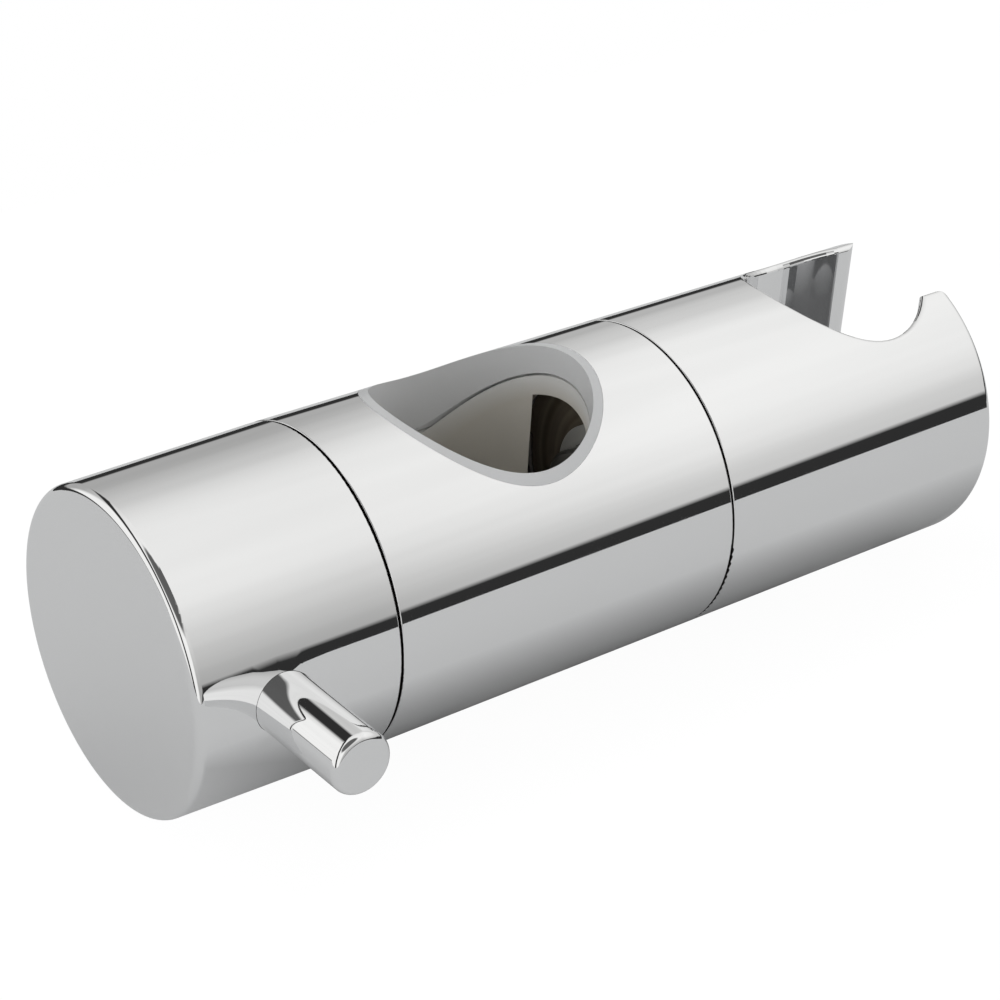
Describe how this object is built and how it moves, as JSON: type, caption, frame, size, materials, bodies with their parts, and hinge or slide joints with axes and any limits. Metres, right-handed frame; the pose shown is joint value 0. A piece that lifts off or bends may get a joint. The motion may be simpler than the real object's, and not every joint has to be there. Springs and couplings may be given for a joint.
{
  "type": "shower rail slide bracket",
  "caption": "Chrome slide bracket that clamps on a round shower riser rail by a lever knob and holds a hand shower in a swivelling open socket.",
  "frame": {"origin": "centre of the rail bore, on the bracket's long axis", "axes": "+X along the bracket from the lever knob to the handset holder; +Z along the rail bore, upward as the picture shows it; the lever points to -Y at rest"},
  "size_m": [0.1134, 0.052, 0.038],
  "materials": {
    "chrome_plate": "bright chrome plate on moulded plastic",
    "chrome_pin": "bright chrome plate on a turned metal pin",
    "collar_plastic": "translucent, slightly frosted",
    "white_acetal": "smooth moulded",
    "grey_nylon": "smooth moulded",
    "zinc_steel": "bright zinc plate",
    "spring_steel": "plain, lightly polished",
    "brass": "turned",
    "rubber": "matte"
  },
  "bodies": {
    "body": {"body_shell": "chrome_plate", "rail_collar_top": "collar_plastic", "rail_collar_bottom": "collar_plastic", "end_plate": "grey_nylon", "plate_clip": "spring_steel", "stop_pin": "spring_steel", "pivot_bush": "white_acetal", "return_spring": "spring_steel"},
    "knob": {"knob_shell": "chrome_plate", "lever_pin": "chrome_pin", "drive_nut": "brass", "thrust_washer": "white_acetal", "hub_clip": "spring_steel"},
    "core": {"clamp_core": "white_acetal", "lead_stud": "zinc_steel", "stud_cross_pin": "spring_steel"},
    "holder": {"holder_shell": "chrome_plate", "holder_insert": "brass", "pivot_screw": "zinc_steel", "wave_washer": "spring_steel", "friction_ring": "rubber"}
  },
  "joints": [
    {"name": "knob_turn", "type": "hinge", "parent": "body", "child": "knob", "pos_m": [-0.0355, 0, 0], "axis": [1, 0, 0], "range_deg": [0, 90]},
    {"name": "core_slide", "type": "slide", "parent": "body", "child": "core", "axis": [1, 0, 0], "range_m": [0, 0.0004], "deforming": ["return_spring"]},
    {"name": "holder_swivel", "type": "hinge", "parent": "body", "child": "holder", "pos_m": [0.0447, 0, 0], "axis": [1, 0, 0], "continuous": true}
  ],
  "couplings": [
    {"joint": "core_slide", "follows": "knob_turn", "m_per_rad": 0.00025465}
  ]
}
